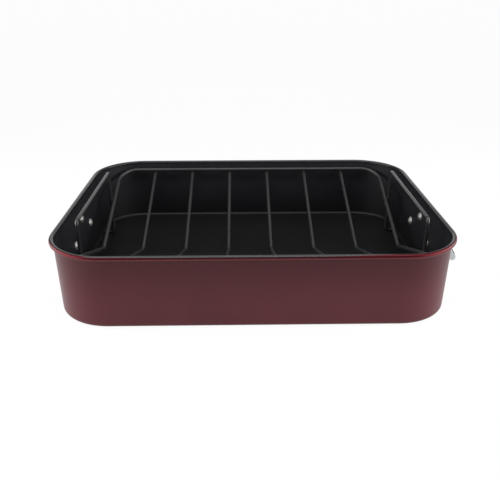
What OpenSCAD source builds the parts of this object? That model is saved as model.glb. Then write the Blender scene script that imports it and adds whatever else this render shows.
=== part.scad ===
// Roasting pan pressed from one sheet, with a lift-out V rack and a folding bail handle at each end.
// The origin is the centre of the base, on its underside: X runs along the pan, Y to the back, Z up.

/* [Pan] */
// Length of the pan over its rolled rim
pan_length = 415; // [380:1:450]
// Width of the pan over its rolled rim
pan_width = 320; // [300:1:350]
// Height of the pan from its base to the top of the rim
pan_height = 80; // [72:1:95]
// Corner radius of the rim, seen from above
rim_corner_radius = 62; // [50:1:70]
// Thickness of the pressed sheet
sheet = 1; // [0.8:0.1:1.2]
// Radius of the hollow inside the rolled rim
rim_hollow_radius = 1.5; // [1.2:0.1:2]
// Distance that the top of a wall lies further out than its foot
wall_offset = 2; // [1:0.1:4]
// Outside radius of the bend between floor and wall
floor_bend_radius = 4.5; // [3.5:0.1:7]

/* [Rivets] */
// Diameter of the rivet shanks
rivet_shank_d = 5; // [4:0.1:6]
// Diameter of the domed heads inside the pan
rivet_head_d = 10.5; // [8.5:0.1:12]
// Height of the domed heads
rivet_head_h = 3; // [2:0.1:4]
// Diameter of the formed tails outside
rivet_tail_d = 9; // [7.5:0.1:10]
// Height of the formed tails
rivet_tail_h = 1.8; // [1.2:0.1:2.4]
// Distance between the two lower rivets of an end
rivet_spread = 70; // [60:1:84]
// How far the lower rivets sit below the upper one
rivet_drop = 19; // [15:0.5:21]
// Radial clearance of a shank in its holes
rivet_play = 0.05; // [0.02:0.01:0.1]

/* [Hinge plates] */
// How far the hinge line lies below the top of the rim
hinge_drop = 25; // [20:0.5:28]
// Thickness of the plate
plate_sheet = 1.5; // [1.2:0.1:1.8]
// Length of each rolled knuckle
knuckle_length = 38; // [30:1:40]
// Distance between the two knuckles
knuckle_gap = 32; // [28:1:40]
// Depth of the plate below the hinge line
plate_depth = 25; // [24:0.5:27]
// Radius of the plate's lower corners
plate_corner_radius = 7; // [4:0.5:9]
// Width of the tongue that the upper rivet holds
tongue_w = 18; // [14:0.5:20]
// Depth of the slits that free the knuckles from the tongue
slit_depth = 3; // [1.5:0.5:5]
// Radius of the arch cut into the lower edge
arch_radius = 34; // [30:1:50]
// Height of that arch
arch_h = 8; // [4:0.5:10]

/* [Bail handles] */
// Diameter of the handle rod
bail_rod = 8; // [6:0.5:9]
// Distance between the centres of the two arms
bail_span = 132; // [124:1:150]
// Distance from the hinge line to the centre of the grip
bail_reach = 31; // [30:0.5:38]
// Bend radius between the hinge ends and the arms
shoulder_radius = 8; // [6:0.5:9]
// Bend radius between the arms and the grip
grip_corner_radius = 12; // [8:0.5:16]
// Radial clearance of the rod in the knuckles
hinge_play = 0.08; // [0.04:0.01:0.1]
// How far a hinge end stops inside the knuckle's inner edge
hinge_end_inset = 2; // [1:0.5:6]
// Angle that the left handle hangs out from vertical
left_swing_angle = 0; // [0:1:60]
// Angle that the right handle hangs out from vertical
right_swing_angle = 32; // [0:1:60]

/* [Rack frame] */
// Diameter of the frame wire
frame_wire = 5; // [4:0.1:6]
// Room between the side wires and the end walls
end_room = 21; // [16:0.5:26]
// Room between the rails and the long walls
rail_room = 5.5; // [4:0.5:12]
// How far the rails lie below the top of the rim
rail_drop = 10.3; // [4:0.1:14]
// Height where the two slopes of the frame would meet
frame_valley = 16.5; // [14:0.5:22]
// Corner radius of the frame
frame_corner_radius = 24.5; // [15:0.5:30]
// Bend radius at the bottom of the V
frame_bend_radius = 6; // [4:0.5:10]

/* [Rack cross wires] */
// Diameter of the cross wires
cross_wire = 4; // [3:0.1:4.5]
// Number of cross wires
cross_count = 6; // [4:1:8]
// Height where the two slopes of a cross wire would meet
cross_valley = 14.5; // [12:0.5:18]
// Bend radius at the bottom of a cross wire
cross_bend_radius = 9; // [5:0.5:12]
// How far a cross wire runs on past the middle of the rail
cross_overrun = 1.5; // [0.5:0.1:3]
// Share of the wires' spacing that is left between the side wires and the outer cross wires
end_gap_share = 0.95; // [0.8:0.05:1.2]
// How far the row of cross wires sits off the middle, towards the left end
cross_shift = 2; // [0:0.5:4]

/* [Rack lifting handles] */
// Diameter of the lifting handle wire
lift_wire = 4; // [3:0.1:6]
// Distance between the two legs of a lifting handle
lift_span = 168; // [140:1:190]
// How far the grip wire stands above the pan's rim
lift_rise = 6; // [4:0.5:20]
// Bend radius of a lifting handle
lift_bend_radius = 5; // [3.5:0.5:8]
// Gap between a foot's tip and the bend of the floor
foot_gap = 0.5; // [0.3:0.1:2]
// Gap between the feet and the floor
rest_gap = 0.3; // [0.2:0.05:0.5]
// How deep each weld sinks one wire into the other
weld_depth = 0.3; // [0.2:0.05:0.5]

/* [Hidden] */
$fn = 64;

burgundy = [0.36, 0.1, 0.13];
bright_steel = [0.82, 0.83, 0.84];
plate_steel = [0.7, 0.71, 0.73];
coated_wire = [0.28, 0.28, 0.29];

// One overrun for every cut that has to pass through a surface
overrun = 1;
// Angle left open where a rolled edge nearly meets the sheet again
roll_mouth_angle = 58;
// Angle that a bend runs on past the middle of the rack before it is cut there
bend_overrun_angle = 5;

// Pan: centres of the corners, and the wall in the corner's own section
draft = atan(wall_offset / pan_height);
corner_x = pan_length / 2 - rim_corner_radius;
corner_y = pan_width / 2 - rim_corner_radius;
floor_bend_inner = floor_bend_radius - sheet;
rim_roll_radius = rim_hollow_radius + sheet;
rim_roll_height = pan_height - rim_roll_radius;
roll_offset = floor_bend_radius + rim_hollow_radius;
wall_height = (rim_roll_height - floor_bend_radius + roll_offset * sin(draft)) / cos(draft);
floor_reach = rim_corner_radius - rim_roll_radius - roll_offset * cos(draft) - wall_height * sin(draft);

// Distance from a corner's centre to the wall's outer face, at a height above the base
function wall_face(height) = floor_reach + floor_bend_radius * cos(draft)
    + (height - floor_bend_radius * (1 - sin(draft))) * tan(draft);
inner_half_length = corner_x + wall_face(0) - sheet / cos(draft);
inner_half_width = corner_y + wall_face(0) - sheet / cos(draft);

// Hinge: the knuckle's back touches the end wall
knuckle_inner = bail_rod / 2 + hinge_play;
knuckle_outer = knuckle_inner + plate_sheet;
knuckle_start = knuckle_gap / 2;
hinge_height = pan_height - hinge_drop;
hinge_seat = hinge_height + knuckle_outer * sin(draft);
hinge_x = corner_x + wall_face(hinge_seat) + knuckle_outer * cos(draft);

// Rack: the frame's slope, and the cross wires' slope that lays them under the rails
side_x = inner_half_length - end_room;
rail_y = inner_half_width - rail_room;
rail_height = pan_height - rail_drop;
frame_slope = atan((rail_height - frame_valley) / rail_y);
weld_offset = (frame_wire + cross_wire) / 2 - weld_depth;
cross_rise = rail_height - cross_valley;
rail_distance = norm([rail_y, cross_rise]);
cross_slope = atan(cross_rise / rail_y) - asin(weld_offset / rail_distance);
cross_run = sqrt(pow(rail_distance, 2) - pow(weld_offset, 2)) + cross_overrun;
cross_pitch = 2 * side_x / (cross_count - 1 + 2 * end_gap_share);
first_cross_x = -cross_pitch * (cross_count - 1) / 2 - cross_shift;

// Lifting handles: their legs are welded to the outside of the side wires
lift_x = side_x + (frame_wire + lift_wire) / 2 - weld_depth;
lift_height = pan_height + lift_rise;
foot_height = sheet + rest_gap + lift_wire / 2;
foot_tip = corner_x + floor_reach - foot_gap;

// Its children, and the same again mirrored
module mirrored(axis) {
    children();
    mirror(axis) children();
}

// Wire running up the Z axis; what follows starts at its end
module run(wire, length) {
    cylinder(d = wire, h = length);
    translate([0, 0, length]) children();
}

// Wire bending away from the Z axis towards +X
module bend(wire, radius, angle) {
    translate([radius, 0, 0]) rotate([90, 0, 180])
        rotate_extrude(angle = angle) translate([radius, 0]) circle(d = wire);
}

// Square bend towards +X; what follows starts at its end and runs along X
module square_bend(wire, radius) {
    bend(wire, radius, 90);
    translate([radius, 0, radius]) rotate([0, 90, 0]) children();
}

// Sheet edge rolled round a hollow, open at the lower left
module rolled_edge(hollow, thickness) {
    far = 2 * (hollow + thickness);
    difference() {
        circle(r = hollow + thickness);
        circle(r = hollow);
        polygon([
            [0, 0],
            [-far, 0],
            far * [-cos(roll_mouth_angle / 2), -sin(roll_mouth_angle / 2)],
            far * [-cos(roll_mouth_angle), -sin(roll_mouth_angle)]
        ]);
    }
}

// Section through floor, bend, wall and rim, measured from a corner's centre
module pan_section() {
    far = 2 * floor_bend_radius;
    square([floor_reach, sheet]);
    translate([floor_reach, floor_bend_radius]) {
        intersection() {
            translate([0, -far]) square([far, 2 * far]);
            rotate(-draft) difference() {
                circle(r = floor_bend_radius);
                circle(r = floor_bend_inner);
                translate([-far, 0]) square([2 * far, far]);
            }
        }
        rotate(-draft) {
            translate([floor_bend_inner, 0]) square([sheet, wall_height]);
            translate([roll_offset, wall_height]) rolled_edge(rim_hollow_radius, sheet);
        }
    }
}

// Places its children on the outer face of the right-hand end wall, +X outwards and +Z up the wall
module on_end_wall() {
    translate([corner_x + wall_face(hinge_seat), 0, hinge_seat]) rotate([0, draft, 0]) children();
}

// Places its children at the three rivets of the end wall: one on the hinge line, two below it
module at_rivets() {
    mirrored([0, 1, 0]) translate([0, rivet_spread / 2, -rivet_drop]) children();
    children();
}

module rivet_hole() {
    reach = sheet + plate_sheet + overrun;
    rotate([0, 90, 0]) cylinder(r = rivet_shank_d / 2 + rivet_play, h = 2 * reach, center = true);
}

// Quarter of the pan: a corner with half a wall on each side and its share of the floor
module pan_quarter() {
    cube([corner_x, corner_y, sheet]);
    translate([corner_x, corner_y, 0]) {
        rotate_extrude(angle = 90) pan_section();
        rotate([90, 0, 0]) linear_extrude(height = corner_y) pan_section();
    }
    translate([0, corner_y, 0]) rotate([90, 0, 90]) linear_extrude(height = corner_x) pan_section();
}

module pan_body() {
    color(burgundy)
    difference() {
        mirrored([1, 0, 0]) mirrored([0, 1, 0]) pan_quarter();
        mirrored([1, 0, 0]) on_end_wall() at_rivets() rivet_hole();
    }
}

// Spherical cap of a rivet, flat side down
module dome(diameter, height) {
    ball = (pow(diameter / 2, 2) + pow(height, 2)) / (2 * height);
    rotate_extrude() intersection() {
        translate([0, height - ball]) circle(r = ball);
        square([diameter, height]);
    }
}

// One set rivet: domed head inside, shank through wall and plate, formed tail outside
module rivet() {
    rotate([0, 90, 0]) {
        translate([0, 0, -sheet - rivet_head_h / 2])
            cylinder(d = rivet_shank_d, h = sheet + plate_sheet + (rivet_head_h + rivet_tail_h) / 2);
        translate([0, 0, -sheet]) mirror([0, 0, 1]) dome(rivet_head_d, rivet_head_h);
        translate([0, 0, plate_sheet]) dome(rivet_tail_d, rivet_tail_h);
    }
}

module end_rivets() {
    color(bright_steel) on_end_wall() at_rivets() rivet();
}

// Half outline of the flat part of the plate: [distance along the hinge line, height above it]
module plate_outline() {
    half = knuckle_start + knuckle_length;
    corner_y = half - plate_corner_radius;
    corner_z = plate_corner_radius - plate_depth;
    difference() {
        union() {
            translate([0, corner_z]) square([half, -slit_depth - corner_z]);
            translate([0, -plate_depth]) square([corner_y, plate_corner_radius]);
            translate([corner_y, corner_z]) circle(r = plate_corner_radius);
            translate([0, -plate_depth / 2]) square([tongue_w / 2, plate_depth / 2]);
            translate([knuckle_start, -plate_depth / 2]) square([knuckle_length, plate_depth / 2]);
            intersection() {
                circle(d = tongue_w);
                translate([0, -tongue_w]) square([tongue_w, 2 * tongue_w]);
            }
        }
        translate([0, arch_h - plate_depth - arch_radius]) circle(r = arch_radius);
    }
}

// Plate with two knuckles rolled outwards from its upper edge
module hinge_plate() {
    color(plate_steel)
    on_end_wall() {
        difference() {
            mirrored([0, 1, 0]) rotate([90, 0, 90]) linear_extrude(height = plate_sheet) plate_outline();
            at_rivets() rivet_hole();
        }
        mirrored([0, 1, 0]) translate([knuckle_outer, -knuckle_start, 0])
            rotate([90, 0, 0]) linear_extrude(height = knuckle_length) rolled_edge(knuckle_inner, plate_sheet);
    }
}

// Bail from the middle of its grip, up an arm and into the knuckle; the hinge line is the Y axis
module bail_half() {
    arm_y = bail_span / 2;
    arm = bail_reach - shoulder_radius - grip_corner_radius;
    translate([0, 0, -bail_reach]) rotate([-90, 0, 0]) rotate(-90)
        run(bail_rod, arm_y - grip_corner_radius)
        square_bend(bail_rod, grip_corner_radius)
        run(bail_rod, arm)
        square_bend(bail_rod, shoulder_radius)
        run(bail_rod, arm_y - shoulder_radius - knuckle_start - hinge_end_inset);
}

module bail(swing) {
    color(bright_steel)
    translate([hinge_x, 0, hinge_height]) rotate([0, -swing, 0]) mirrored([0, 1, 0]) bail_half();
}

// Both slopes of a V, from the rear one, which is cut at the middle
module both_slopes() {
    mirrored([0, 1, 0]) intersection() {
        children();
        translate([-pan_length, 0, 0]) cube([2 * pan_length, pan_width, 2 * pan_height]);
    }
}

// Frame from the middle of its rear rail, round a corner and down the side wire
module rack_frame() {
    valley_run = rail_y / cos(frame_slope) - frame_corner_radius - frame_bend_radius * tan(frame_slope);
    color(coated_wire)
    both_slopes() mirrored([1, 0, 0])
        translate([0, rail_y, rail_height]) rotate([frame_slope, 0, 0]) rotate([90, 0, 90]) rotate(180)
            run(frame_wire, side_x - frame_corner_radius)
            square_bend(frame_wire, frame_corner_radius)
            run(frame_wire, valley_run)
            rotate(-90) bend(frame_wire, frame_bend_radius, frame_slope + bend_overrun_angle);
}

// Cross wire from its end under the rear rail down to the bend
module rack_cross_wire(number) {
    valley_run = cross_run - cross_bend_radius * tan(cross_slope);
    color(coated_wire)
    translate([first_cross_x + (number - 1) * cross_pitch, 0, 0]) both_slopes()
        translate([0, cross_run * cos(cross_slope), cross_valley + cross_run * sin(cross_slope)])
            rotate([cross_slope, 0, 0]) rotate([90, 0, 0]) rotate(90)
            run(cross_wire, valley_run)
            bend(cross_wire, cross_bend_radius, cross_slope + bend_overrun_angle);
}

// Lifting handle from the middle of its grip, down a leg to the foot that turns outwards
module rack_handle() {
    color(coated_wire)
    translate([lift_x, 0, lift_height]) mirrored([0, 1, 0]) rotate([-90, 0, 0]) rotate(90)
        run(lift_wire, lift_span / 2 - lift_bend_radius)
        square_bend(lift_wire, lift_bend_radius)
        run(lift_wire, lift_height - foot_height - 2 * lift_bend_radius)
        rotate(-90) square_bend(lift_wire, lift_bend_radius)
        run(lift_wire, foot_tip - lift_x - lift_bend_radius);
}

pan_body();
mirror([1, 0, 0]) hinge_plate();  // left_hinge_plate
hinge_plate();  // right_hinge_plate
mirror([1, 0, 0]) end_rivets();  // left_rivets
end_rivets();  // right_rivets
mirror([1, 0, 0]) bail(left_swing_angle);  // left_handle
bail(right_swing_angle);  // right_handle
rack_frame();
for (i = [1:cross_count])
    rack_cross_wire(i);
mirror([1, 0, 0]) rack_handle();  // rack_handle_left
rack_handle();  // rack_handle_right
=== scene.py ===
from math import asin, atan, cos, hypot, pi, radians, sin, tan

import bpy
from mathutils import Matrix, Vector


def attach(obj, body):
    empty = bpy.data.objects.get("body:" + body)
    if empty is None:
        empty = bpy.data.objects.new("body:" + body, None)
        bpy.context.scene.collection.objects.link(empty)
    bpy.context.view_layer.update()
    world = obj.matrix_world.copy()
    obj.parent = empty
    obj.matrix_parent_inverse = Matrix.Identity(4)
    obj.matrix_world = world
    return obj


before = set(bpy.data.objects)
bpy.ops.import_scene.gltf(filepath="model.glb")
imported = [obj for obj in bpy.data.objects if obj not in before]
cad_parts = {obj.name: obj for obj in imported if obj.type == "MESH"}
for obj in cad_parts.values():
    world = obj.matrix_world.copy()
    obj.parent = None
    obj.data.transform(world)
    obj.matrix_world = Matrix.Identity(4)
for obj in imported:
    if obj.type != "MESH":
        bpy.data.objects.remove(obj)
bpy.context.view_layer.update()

MM = 0.001

# Sizes of the pan that its two coats follow, in metres
CORNER_X = 145.5 * MM
CORNER_Y = 98 * MM
FLOOR_REACH = 51.67 * MM
BEND_HEIGHT = 4.5 * MM
BEND_MIDDLE = 4.0 * MM
WALL_LEAN = 0.025
BEAD_MIDDLE = 77.5 * MM
BEAD_REACH = 1.3 * MM
BEAD_CHANGE = 0.2 * MM

# Edge between the two coats on the crown of the rolled rim: its height, and where it rises
COAT_EDGE = 78.75 * MM
COAT_EDGE_SOFTNESS = 0.12 * MM
COAT_EDGE_WAVE = 0.15 * MM
COAT_EDGE_WAVE_SCALE = 60.0
CORNER_RISE = 1.1 * MM
CORNER_RISE_SPAN = 20 * MM
FRONT_Y = -140 * MM
RIGHT_RISE = 1.3 * MM
RIGHT_RISE_SPAN = (35 * MM, 150 * MM)
LEFT_RISE = 0.65 * MM
LEFT_RISE_SPAN = (-140 * MM, -60 * MM)

# Heights between which a coat of the pan changes its colour or gloss
BEAD_UPPER_HALF = (BEAD_MIDDLE - 0.7 * MM, BEAD_MIDDLE + 0.7 * MM)
BEAD_FOOT = (BEAD_MIDDLE - 2.9 * MM, BEAD_MIDDLE - 2.1 * MM)
BEAD_CROWN = (BEAD_MIDDLE + 1.2 * MM, BEAD_MIDDLE + 2.2 * MM)
WALL_TO_RIM = (20 * MM, 76 * MM)
FLOOR_TO_WALL = (1 * MM, 52 * MM)
GLOSSY_RIM = (74 * MM, 78 * MM)
RIM_GLOSS = 0.29

# Colours of the coats, as plain shares of red, green and blue
ENAMEL_DEEP = (0.078, 0.0142, 0.0188, 1)
ENAMEL_PALE = (0.090, 0.0162, 0.0216, 1)
# Painted shade: the enamel wall is painted darker towards the rim and under it
ENAMEL_PAINTED_SHADE_UNDER_RIM = (0.056, 0.0092, 0.0118, 1)
# Painted highlight: a thin lighter band of enamel along the foot of the rolled rim
ENAMEL_PAINTED_HIGHLIGHT_BEAD_FOOT = (0.098, 0.0168, 0.0212, 1)
ENAMEL_BEAD = (0.076, 0.0105, 0.0142, 1)
BLACK_DEEP = (0.0144, 0.0148, 0.0176, 1)
BLACK_PALE = (0.0164, 0.0168, 0.0196, 1)
# Painted shade: the black coat is painted darker on the floor of the pan than on its walls
BLACK_PAINTED_SHADE_AT_FLOOR = (0.0052, 0.0053, 0.0061, 1)
# Painted highlight: the black coat is painted lighter grey along the crown of the rim
BLACK_PAINTED_HIGHLIGHT_CROWN = (0.050, 0.050, 0.051, 1)
BLACK_SPECK = (0.018, 0.018, 0.019, 1)
PAN_SCUFF = (0.16, 0.15, 0.15, 1)
RACK_DEEP = (0.0230, 0.0231, 0.0242, 1)
RACK_PALE = (0.0270, 0.0269, 0.0278, 1)
RACK_SCUFF = (0.10, 0.098, 0.095, 1)

# Coats: size and depth of the pebbles, share of each effect, roughness from glossy to dull
PAN_PEBBLE = 1.1 * MM
PAN_PEBBLE_DEPTH = 0.03 * MM
PAN_SPECK_SHARE = 0.2
PAN_SCUFF_DENSITY = 0.25
PAN_SCUFF_SHARE = 0.04
PAN_SCUFF_ROUGHNESS = 0.06
WALL_METAL = 0.10
BEAD_METAL = 0.95
ENAMEL_ROUGHNESS = (0.34, 0.42)
BLACK_ROUGHNESS = (0.44, 0.48)
PAN_COAT_IOR = 1.34
RACK_PEBBLE = 0.7 * MM
RACK_PEBBLE_DEPTH = 0.02 * MM
RACK_SCUFF_DENSITY = 0.4
RACK_SCUFF_SHARE = 0.12
RACK_ROUGHNESS = (0.25, 0.32)
RACK_COAT_IOR = 1.45

# Textures: repeats per metre, and the part of each noise that shows
SLOW_WAVE_SCALE = 55.0
CLOUD_SCALE = 14.0
SPECK_SCALE = 420.0
SPECK_SIZE = (0.05, 0.16)
SCUFF_STRETCH = (40.0, 900.0, 300.0)
SCUFF_LINE = (0.62, 0.72)
SCUFF_PATCH_SCALE = 35.0
SCUFF_PATCH_START = 0.75
SCUFF_PATCH_WIDENING = 0.3
SCUFF_PATCH_FULL = 0.8
SMUDGE_SCALE = 38.0
NOISE_NARROW = (0.3, 0.7)
NOISE_WIDE = (0.25, 0.75)

# Steels: colour, roughness low and high, stretch of the drawn lines, depth of the lines
STEELS = {
    "handle_steel": ((0.52, 0.525, 0.54), 0.10, 0.18, (900.0, 60.0, 900.0), 0.01 * MM),
    "hinge_plate_steel": ((0.62, 0.62, 0.63), 0.28, 0.40, (2500.0, 40.0, 2500.0), 0.02 * MM),
    "rivet_steel": ((0.42, 0.415, 0.40), 0.49, 0.57, (500.0, 500.0, 500.0), 0.01 * MM),
}
STEEL_SHADE = 0.82

# Sizes of the rack that its weld beads follow, in metres
RAIL_Y = 147.562 * MM
RAIL_Z = 69.7 * MM
FRAME_WIRE = 5 * MM
CROSS_WIRE = 4 * MM
LIFT_WIRE = 4 * MM
WELD_DEPTH = 0.3 * MM
CROSS_VALLEY = 14.5 * MM
CROSS_COUNT = 6
FIRST_CROSS_X = -132.117 * MM
CROSS_PITCH = 52.047 * MM
SIDE_X = 179.562 * MM
FRAME_VALLEY = 16.5 * MM
LIFT_LEG_Y = 84 * MM

# Shape of a weld bead, as shares of the welded wire
WELD_RING_SHARE = 0.30
WELD_THICK_SHARE = 0.17
WELD_RING_STEPS = 28
WELD_THICK_STEPS = 12
WELD_STRETCH = (1.35, 1.0, 0.8)

# Studio, in metres and degrees
FLOOR_SIZE = 60
FLOOR_DROP = 0.2 * MM
FLOOR_WHITE = 0.93
PAPER_COLOUR = (0.93, 0.93, 0.93, 1)
PAPER_ROUGHNESS = 0.8
CLOTH_COLOUR = (0.03, 0.03, 0.03, 1)
SKY_LIGHT = 0.7
SKY_SEEN = 1.0

# Black flags: place, turn, width, height, tilt in its own plane
FLAGS = {
    "studio_flag_front": ((0, -1.5, 0.85), 0, 2.2, 1.4, 0),
    "studio_flag_back": ((-0.23, 1.2, 1.3), 0, 2.14, 1.2, 0),
    "studio_flag_right": ((1.49, 0.985, 0.55), -52, 1.42, 1.1, 0),
    "studio_flag_left": ((-1.49, 0.985, 0.55), 52, 1.42, 1.1, 0),
    "studio_strip": ((0.32, -0.010, 0.027), 90, 0.140, 0.024, 17.4),
}

# Softboxes: place, target, width, height, brightness of the face in plain whites
SOFTBOXES = {
    "overhead_softbox": ((0, -0.32, 1.05), (0, 0, 0), 1.3, 0.34, 4.2),
    "left_softbox": ((-0.62, -0.14, 0.17), (-0.1, -0.08, 0.06), 0.75, 0.3, 4.8),
    "right_softbox": ((0.617, -0.14, 0.187), (0.097, -0.08, 0.077), 0.75, 0.265, 5.3),
}

# Camera, solved from the photograph with the three written sizes held
CAMERA_PLACE = (-0.01318, -0.66657, 0.32089)
CAMERA_TURN = (66.16, 0, -1.05)
CAMERA_SENSOR = 36.0
CAMERA_LENS = 43.291
CAMERA_SHIFT_X = -0.00168
CAMERA_SHIFT_Y = -0.02018


# Places of shader nodes in the node editor
NODES_IN_A_ROW = 8
NODE_STEP = 200
ROW_STEP = 260


class Nodes:
    """Short calls for placing and joining shader nodes in one tree."""

    def __init__(self, tree):
        self.tree = tree
        self.count = 0

    def add(self, kind, **settings):
        node = self.tree.nodes.new(kind)
        self.count += 1
        row, column = divmod(self.count, NODES_IN_A_ROW)
        node.location = (NODE_STEP * column, -ROW_STEP * row)
        for key, value in settings.items():
            setattr(node, key, value)
        return node

    def join(self, source, target):
        self.tree.links.new(source, target)

    def feed(self, target, value):
        if isinstance(value, bpy.types.NodeSocket):
            self.join(value, target)
        else:
            target.default_value = value

    def math(self, operation, a, b=0.0, c=None):
        node = self.add("ShaderNodeMath", operation=operation)
        self.feed(node.inputs[0], a)
        self.feed(node.inputs[1], b)
        if c is not None:
            self.feed(node.inputs[2], c)
        return node.outputs[0]

    def ramp(self, value, low, high, out_low=0.0, out_high=1.0, smooth=True):
        node = self.add("ShaderNodeMapRange", clamp=True)
        node.interpolation_type = "SMOOTHSTEP" if smooth else "LINEAR"
        numbers = {"From Min": low, "From Max": high, "To Min": out_low, "To Max": out_high}
        self.feed(node.inputs["Value"], value)
        for name, number in numbers.items():
            self.feed(node.inputs[name], number)
        return node.outputs["Result"]

    def noise(self, vector, scale, detail=2.0, roughness=0.5):
        node = self.add("ShaderNodeTexNoise", noise_dimensions="3D")
        self.join(vector, node.inputs["Vector"])
        self.feed(node.inputs["Scale"], scale)
        node.inputs["Detail"].default_value = detail
        node.inputs["Roughness"].default_value = roughness
        return node.outputs["Fac"]

    def mix(self, fac, a, b):
        node = self.add("ShaderNodeMix", data_type="RGBA", blend_type="MIX")
        self.feed(node.inputs["Factor"], fac)
        self.feed(node.inputs["A"], a)
        self.feed(node.inputs["B"], b)
        return node.outputs["Result"]

    def stretched(self, vector, scale):
        node = self.add("ShaderNodeMapping")
        self.join(vector, node.inputs["Vector"])
        node.inputs["Scale"].default_value = scale
        return node.outputs["Vector"]

    def xyz(self, vector):
        node = self.add("ShaderNodeSeparateXYZ")
        self.join(vector, node.inputs[0])
        return node.outputs


def new_group(name, inputs, outputs):
    """Node group that takes a position and (name, kind, value, lowest, highest) inputs."""
    group = bpy.data.node_groups.new(name, "ShaderNodeTree")
    for label, kind, *values in [("Position", "NodeSocketVector")] + inputs:
        end = group.interface.new_socket(name=label, in_out="INPUT", socket_type=kind)
        for key, value in zip(("default_value", "min_value", "max_value"), values):
            setattr(end, key, value)
    for label in outputs:
        group.interface.new_socket(name=label, in_out="OUTPUT", socket_type="NodeSocketFloat")
    nodes = Nodes(group)
    start = nodes.add("NodeGroupInput")
    end = nodes.add("NodeGroupOutput")
    return group, nodes, start.outputs, end.inputs


# Effects that more than one finish shares
def build_outside_mask():
    """1 on the side of the sheet with the burgundy enamel, 0 on the side with the black coat."""
    group, n, given, out = new_group(
        "enamel side of the sheet",
        [("Edge Waviness", "NodeSocketFloat", COAT_EDGE_WAVE, 0.0, 0.001)],
        ["Outside"],
    )
    x, y, z = n.xyz(given["Position"])

    # Distance from the middle of the bend, against that of the middle of the sheet
    along = n.math("MAXIMUM", n.math("SUBTRACT", n.math("ABSOLUTE", x), CORNER_X), 0.0)
    across = n.math("MAXIMUM", n.math("SUBTRACT", n.math("ABSOLUTE", y), CORNER_Y), 0.0)
    squares = n.math("ADD", n.math("MULTIPLY", along, along), n.math("MULTIPLY", across, across))
    reach = n.math("MAXIMUM", n.math("SUBTRACT", n.math("SQRT", squares), FLOOR_REACH), 0.0)
    below = n.math("MAXIMUM", n.math("SUBTRACT", BEND_HEIGHT, z), 0.0)
    squares = n.math("ADD", n.math("MULTIPLY", reach, reach), n.math("MULTIPLY", below, below))
    span = n.math("SQRT", squares)
    to_bead = n.ramp(z, BEAD_MIDDLE - BEAD_CHANGE, BEAD_MIDDLE + BEAD_CHANGE, 0.0, BEAD_REACH)
    middle = n.math("ADD", n.math("MULTIPLY_ADD", z, WALL_LEAN, BEND_MIDDLE), to_bead)
    outer_skin = n.math("GREATER_THAN", span, middle)

    # Height of the edge between the coats, which rises at the corners and along the front
    wave = n.math("SUBTRACT", n.noise(given["Position"], COAT_EDGE_WAVE_SCALE), 0.5)
    corner = n.ramp(n.math("MINIMUM", along, across), 0.0, CORNER_RISE_SPAN, 0.0, CORNER_RISE)
    at_front = n.ramp(y, FRONT_Y, -CORNER_Y, 1.0, 0.0)
    to_right = n.ramp(x, *RIGHT_RISE_SPAN, 0.0, RIGHT_RISE)
    to_left = n.ramp(x, *LEFT_RISE_SPAN, LEFT_RISE, 0.0)
    front = n.math("MULTIPLY", at_front, n.math("ADD", to_right, to_left))
    level = n.math("ADD", n.math("MAXIMUM", corner, front), COAT_EDGE)
    edge = n.math("MULTIPLY_ADD", wave, given["Edge Waviness"], level)
    under_edge = n.ramp(n.math("SUBTRACT", edge, z), -COAT_EDGE_SOFTNESS, COAT_EDGE_SOFTNESS)
    n.join(n.math("MULTIPLY", outer_skin, under_edge), out["Outside"])
    return group


def build_spray_texture():
    """Fine pebbling and slow waviness of a sprayed and baked coat."""
    group, n, given, out = new_group(
        "sprayed coat",
        [
            ("Pebble Size", "NodeSocketFloat", 0.0012, 0.0001, 0.02),
            ("Pebble Share", "NodeSocketFloat", 0.7, 0.0, 1.0),
        ],
        ["Height", "Cloud", "Speck"],
    )
    position = given["Position"]
    pebble = n.noise(position, n.math("DIVIDE", 1.0, given["Pebble Size"]), 1.0, 0.4)
    slow = n.noise(position, SLOW_WAVE_SCALE)
    difference = n.math("SUBTRACT", pebble, slow)
    n.join(n.math("MULTIPLY_ADD", difference, given["Pebble Share"], slow), out["Height"])
    n.join(n.noise(position, CLOUD_SCALE, 3.0, 0.55), out["Cloud"])
    speck = n.add("ShaderNodeTexVoronoi", feature="F1")
    n.join(position, speck.inputs["Vector"])
    speck.inputs["Scale"].default_value = SPECK_SCALE
    n.join(n.ramp(speck.outputs["Distance"], *SPECK_SIZE, 1.0, 0.0), out["Speck"])
    return group


def build_rub_marks():
    """Faint, broken scuffs that run mostly one way."""
    group, n, given, out = new_group(
        "rub marks", [("Density", "NodeSocketFloat", 0.3, 0.0, 1.0)], ["Marks"]
    )
    lines = n.noise(n.stretched(given["Position"], SCUFF_STRETCH), 1.0, 2.0, 0.6)
    broken = n.noise(given["Position"], SCUFF_PATCH_SCALE, 2.0, 0.6)
    thin = n.ramp(lines, *SCUFF_LINE)
    widening = n.math("MULTIPLY", given["Density"], SCUFF_PATCH_WIDENING)
    patch = n.ramp(broken, n.math("SUBTRACT", SCUFF_PATCH_START, widening), SCUFF_PATCH_FULL)
    n.join(n.math("MULTIPLY", thin, patch), out["Marks"])
    return group


def build_drawn_lines():
    """Fine lines of drawn or brushed steel along one axis."""
    group, n, given, out = new_group(
        "drawn steel lines",
        [("Stretch", "NodeSocketVector", (2500.0, 25.0, 2500.0))],
        ["Lines", "Smudge"],
    )
    stretch = n.add("ShaderNodeVectorMath", operation="MULTIPLY")
    n.join(given["Position"], stretch.inputs[0])
    n.join(given["Stretch"], stretch.inputs[1])
    n.join(n.noise(stretch.outputs[0], 1.0, 3.0, 0.6), out["Lines"])
    n.join(n.noise(given["Position"], SMUDGE_SCALE, 3.0, 0.6), out["Smudge"])
    return group


OUTSIDE_MASK = build_outside_mask()
SPRAY = build_spray_texture()
RUBS = build_rub_marks()
DRAWN_LINES = build_drawn_lines()


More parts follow.
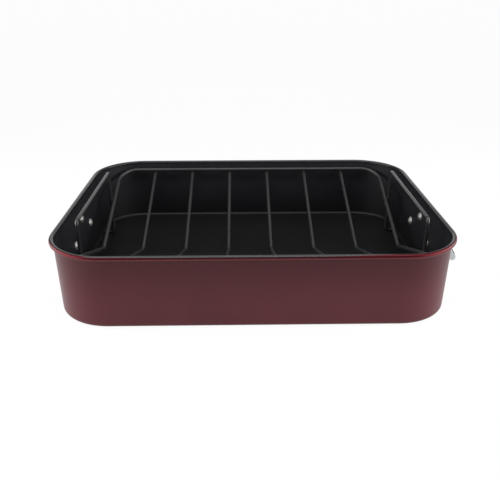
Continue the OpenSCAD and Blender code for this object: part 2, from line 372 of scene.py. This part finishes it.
# Finishes of the object
def blank_material(name):
    """Material with its output node alone, and the short calls that fill it."""
    material = bpy.data.materials.new(name)
    material.use_nodes = True
    material.node_tree.nodes.clear()
    n = Nodes(material.node_tree)
    return material, n, n.add("ShaderNodeOutputMaterial").inputs[0]


def new_finish(name):
    material, n, surface = blank_material(name)
    shader = n.add("ShaderNodeBsdfPrincipled")
    n.join(shader.outputs[0], surface)
    position = n.add("ShaderNodeTexCoord").outputs["Object"]
    return material, n, shader, position


def use(n, group, position, **values):
    """One use of a shared effect; an input's name has _ for each space."""
    node = n.add("ShaderNodeGroup", node_tree=group)
    n.join(position, node.inputs["Position"])
    for key, value in values.items():
        n.feed(node.inputs[key.replace("_", " ")], value)
    return node.outputs


def bump(n, shader, height, distance):
    node = n.add("ShaderNodeBump")
    node.inputs["Distance"].default_value = distance
    node.inputs["Strength"].default_value = 1.0
    n.join(height, node.inputs["Height"])
    n.join(node.outputs[0], shader.inputs["Normal"])


def pan_coats():
    """Burgundy enamel outside and black non-stick coat inside, on the same pressed sheet."""
    material, n, shader, position = new_finish("pan_coats")
    outside = use(n, OUTSIDE_MASK, position)["Outside"]
    spray = use(n, SPRAY, position, Pebble_Size=PAN_PEBBLE)
    rubs = use(n, RUBS, position, Density=PAN_SCUFF_DENSITY)["Marks"]
    cloud = spray["Cloud"]
    height = n.xyz(position)[2]
    upper_bead = n.ramp(height, *BEAD_UPPER_HALF)

    wall = n.mix(n.ramp(cloud, *NOISE_NARROW), ENAMEL_DEEP, ENAMEL_PALE)
    # Painted shade: the wall colour darkens towards the rim
    wall = n.mix(n.ramp(height, *WALL_TO_RIM), wall, ENAMEL_PAINTED_SHADE_UNDER_RIM)
    # Painted highlight: a thin lighter band at the foot of the rolled rim
    wall = n.mix(n.ramp(height, *BEAD_FOOT), wall, ENAMEL_PAINTED_HIGHLIGHT_BEAD_FOOT)
    enamel = n.mix(upper_bead, wall, ENAMEL_BEAD)

    black = n.mix(n.ramp(cloud, *NOISE_NARROW), BLACK_DEEP, BLACK_PALE)
    # Painted shade: the black coat darkens from the lower walls down to the floor
    painted_shade_near_floor = n.ramp(height, *FLOOR_TO_WALL, 1.0, 0.0, smooth=False)
    black = n.mix(painted_shade_near_floor, black, BLACK_PAINTED_SHADE_AT_FLOOR)
    # Painted highlight: lighter grey along the crown of the rim
    black = n.mix(n.ramp(height, *BEAD_CROWN), black, BLACK_PAINTED_HIGHLIGHT_CROWN)
    black = n.mix(n.math("MULTIPLY", spray["Speck"], PAN_SPECK_SHARE), black, BLACK_SPECK)

    colour = n.mix(outside, black, enamel)
    colour = n.mix(n.math("MULTIPLY", rubs, PAN_SCUFF_SHARE), colour, PAN_SCUFF)
    n.join(colour, shader.inputs["Base Color"])

    metal = n.ramp(upper_bead, 0.0, 1.0, WALL_METAL, BEAD_METAL)
    n.join(n.math("MULTIPLY", outside, metal), shader.inputs["Metallic"])

    rim_gloss = n.ramp(height, *GLOSSY_RIM, 0.0, RIM_GLOSS)
    rough_in = n.math("SUBTRACT", n.ramp(cloud, *NOISE_WIDE, *BLACK_ROUGHNESS), rim_gloss)
    rough_out = n.ramp(cloud, *NOISE_WIDE, *ENAMEL_ROUGHNESS)
    difference = n.math("SUBTRACT", rough_out, rough_in)
    rough = n.math("MULTIPLY_ADD", difference, outside, rough_in)
    rough = n.math("MULTIPLY_ADD", rubs, PAN_SCUFF_ROUGHNESS, rough)
    n.join(rough, shader.inputs["Roughness"])

    shader.inputs["IOR"].default_value = PAN_COAT_IOR
    bump(n, shader, spray["Height"], PAN_PEBBLE_DEPTH)
    return material


def rack_coat():
    """Dark grey non-stick coat on the wires of the rack."""
    material, n, shader, position = new_finish("rack_coat")
    spray = use(n, SPRAY, position, Pebble_Size=RACK_PEBBLE)
    rubs = use(n, RUBS, position, Density=RACK_SCUFF_DENSITY)["Marks"]
    colour = n.mix(n.ramp(spray["Cloud"], *NOISE_NARROW), RACK_DEEP, RACK_PALE)
    colour = n.mix(n.math("MULTIPLY", rubs, RACK_SCUFF_SHARE), colour, RACK_SCUFF)
    rough = n.ramp(spray["Cloud"], *NOISE_WIDE, *RACK_ROUGHNESS)
    n.join(colour, shader.inputs["Base Color"])
    n.join(rough, shader.inputs["Roughness"])
    shader.inputs["IOR"].default_value = RACK_COAT_IOR
    bump(n, shader, spray["Height"], RACK_PEBBLE_DEPTH)
    return material


def steel(name, base, rough_low, rough_high, stretch, depth):
    """Bare steel with drawn lines; the lines and smudges change its shade and gloss."""
    material, n, shader, position = new_finish(name)
    lines = use(n, DRAWN_LINES, position, Stretch=stretch)
    half_smudge = n.math("MULTIPLY", lines["Smudge"], 0.5)
    shade = n.math("MULTIPLY_ADD", lines["Lines"], 0.5, half_smudge)
    dark = tuple(STEEL_SHADE * part for part in base) + (1,)
    colour = n.mix(n.ramp(shade, *NOISE_NARROW), dark, base + (1,))
    rough = n.ramp(shade, *NOISE_NARROW, rough_low, rough_high)
    n.join(colour, shader.inputs["Base Color"])
    n.join(rough, shader.inputs["Roughness"])
    shader.inputs["Metallic"].default_value = 1.0
    bump(n, shader, lines["Lines"], depth)
    return material


def dress(node, material):
    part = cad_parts[node]
    part.data.materials.clear()
    part.data.materials.append(material)


PAN_COATS = pan_coats()
RACK_COAT = rack_coat()
STEEL = {name: steel(name, *values) for name, values in STEELS.items()}

dress("pan_body", PAN_COATS)
dress("rack_frame", RACK_COAT)
for side in ("left", "right"):
    dress(side + "_hinge_plate", STEEL["hinge_plate_steel"])
    dress(side + "_rivets", STEEL["rivet_steel"])
    dress(side + "_handle", STEEL["handle_steel"])
    dress("rack_handle_" + side, RACK_COAT)
for number in range(CROSS_COUNT):
    dress("rack_cross_wire_%d" % (number + 1), RACK_COAT)


# Weld beads of the rack
def weld_bead(name, place, across, along, wire):
    """Soft ring of metal round the spot where two wires are welded."""
    bpy.ops.object.select_all(action="DESELECT")
    bpy.ops.mesh.primitive_torus_add(
        location=(0, 0, 0),
        major_segments=WELD_RING_STEPS,
        minor_segments=WELD_THICK_STEPS,
        major_radius=WELD_RING_SHARE * wire,
        minor_radius=WELD_THICK_SHARE * wire,
    )
    bead = bpy.context.object
    bead.name = name
    bpy.ops.object.mode_set(mode="EDIT")
    bpy.ops.mesh.select_all(action="SELECT")
    bpy.ops.transform.resize(value=WELD_STRETCH)
    bpy.ops.mesh.vertices_smooth(factor=0.5, repeat=3)
    bpy.ops.mesh.normals_make_consistent(inside=False)
    bpy.ops.object.mode_set(mode="OBJECT")
    bpy.ops.object.shade_smooth()
    normal = Vector(across).normalized()
    first = (Vector(along) - Vector(along).dot(normal) * normal).normalized()
    turn = Matrix((first, normal.cross(first), normal)).transposed().to_4x4()
    bead.matrix_world = Matrix.Translation(place) @ turn
    bpy.ops.object.transform_apply(location=True, rotation=True, scale=True)
    bead.data.materials.append(RACK_COAT)
    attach(bead, "rack")


def cross_wire_welds():
    """Twelve beads, one at each end of each cross wire, where it meets a rail from below."""
    gap = (FRAME_WIRE + CROSS_WIRE) / 2 - WELD_DEPTH
    rise = RAIL_Z - CROSS_VALLEY
    slope = atan(rise / RAIL_Y) - asin(gap / hypot(RAIL_Y, rise))
    for number in range(CROSS_COUNT):
        x = FIRST_CROSS_X + number * CROSS_PITCH
        for side, side_name in ((1, "back"), (-1, "front")):
            across = Vector((0, -side * sin(slope), cos(slope)))
            along = (0, side * cos(slope), sin(slope))
            place = Vector((x, side * RAIL_Y, RAIL_Z)) - across * (FRAME_WIRE - WELD_DEPTH) / 2
            name = "weld_bead_%s_%d" % (side_name, number + 1)
            weld_bead(name, place, across, along, CROSS_WIRE)


def lifting_handle_welds():
    """Four beads, one where each leg of a lifting handle meets a side wire."""
    slope = atan((RAIL_Z - FRAME_VALLEY) / RAIL_Y)
    x = SIDE_X + (FRAME_WIRE - WELD_DEPTH) / 2
    height = FRAME_VALLEY + LIFT_LEG_Y * tan(slope)
    for end, end_name in ((-1, "left"), (1, "right")):
        for side, side_name in ((1, "back"), (-1, "front")):
            place = Vector((end * x, side * LIFT_LEG_Y, height))
            name = "weld_bead_%s_%s" % (end_name, side_name)
            weld_bead(name, place, (end, 0, 0), (0, 0, 1), LIFT_WIRE)


cross_wire_welds()
lifting_handle_welds()


# Studio: floor, flags, background, lamps and camera
def backdrop_white(n, amount):
    """The given amount for camera, mirror and glass rays, 0 for the rays that light things."""
    rays = n.add("ShaderNodeLightPath").outputs
    seen = n.math("MAXIMUM", rays["Is Camera Ray"], rays["Is Glossy Ray"])
    seen = n.math("MAXIMUM", seen, rays["Is Transmission Ray"])
    return n.math("MULTIPLY", seen, amount)


def floor_paper():
    """White paper that is seen almost as plain white and still takes a faint shadow."""
    material, n, surface = blank_material("studio_floor")
    paper = n.add("ShaderNodeBsdfPrincipled")
    paper.inputs["Base Color"].default_value = PAPER_COLOUR
    paper.inputs["Roughness"].default_value = PAPER_ROUGHNESS
    white = n.add("ShaderNodeEmission")
    both = n.add("ShaderNodeMixShader")
    n.join(backdrop_white(n, FLOOR_WHITE), both.inputs[0])
    n.join(paper.outputs[0], both.inputs[1])
    n.join(white.outputs[0], both.inputs[2])
    n.join(both.outputs[0], surface)
    return material


bpy.ops.object.select_all(action="DESELECT")
bpy.ops.mesh.primitive_plane_add(size=FLOOR_SIZE, location=(0, 0, -FLOOR_DROP))
floor = bpy.context.object
floor.name = "studio_floor"
floor.data.materials.append(floor_paper())

black_cloth = bpy.data.materials.new("studio_flag")
black_cloth.use_nodes = True
cloth = black_cloth.node_tree.nodes["Principled BSDF"]
cloth.inputs["Base Color"].default_value = CLOTH_COLOUR


def black_flag(name, place, turn, width, height, tilt):
    """Upright black cloth that keeps light off one side; the camera looks past it."""
    upright = (radians(90), radians(tilt), radians(turn))
    bpy.ops.object.select_all(action="DESELECT")
    bpy.ops.mesh.primitive_plane_add(size=1, location=place, rotation=upright)
    flag = bpy.context.object
    flag.name = name
    flag.scale = (width, height, 1)
    bpy.ops.object.transform_apply(location=False, rotation=True, scale=True)
    flag.data.materials.append(black_cloth)
    flag.visible_camera = False


for name, values in FLAGS.items():
    black_flag(name, *values)

# The strip shows only as the dark streak that it mirrors in the right handle
strip = bpy.data.objects["studio_strip"]
strip.visible_diffuse = False
strip.visible_shadow = False

world = bpy.data.worlds.new("studio_world")
bpy.context.scene.world = world
world.use_nodes = True
sky = Nodes(world.node_tree)
background = world.node_tree.nodes["Background"]
background.inputs["Color"].default_value = (1, 1, 1, 1)
strength = sky.ramp(backdrop_white(sky, 1.0), 0.0, 1.0, SKY_LIGHT, SKY_SEEN, smooth=False)
sky.join(strength, background.inputs["Strength"])


def softbox(name, place, target, width, height, brightness):
    """Rectangular lamp whose face looks as bright as the given number of plain whites."""
    lamp = bpy.data.lights.new(name, "AREA")
    lamp.shape = "RECTANGLE"
    lamp.size = width
    lamp.size_y = height
    lamp.energy = brightness * pi * width * height
    item = bpy.data.objects.new(name, lamp)
    bpy.context.scene.collection.objects.link(item)
    item.location = place
    aim = Vector(target) - Vector(place)
    item.rotation_euler = aim.to_track_quat("-Z", "Y").to_euler()


for name, values in SOFTBOXES.items():
    softbox(name, *values)

camera_data = bpy.data.cameras.new("photo_camera")
camera_data.sensor_width = CAMERA_SENSOR
camera_data.lens = CAMERA_LENS
camera_data.shift_x = CAMERA_SHIFT_X
camera_data.shift_y = CAMERA_SHIFT_Y
camera = bpy.data.objects.new("photo_camera", camera_data)
bpy.context.scene.collection.objects.link(camera)
camera.location = CAMERA_PLACE
camera.rotation_euler = [radians(angle) for angle in CAMERA_TURN]
bpy.context.scene.camera = camera

bpy.context.scene.view_settings.view_transform = "Standard"
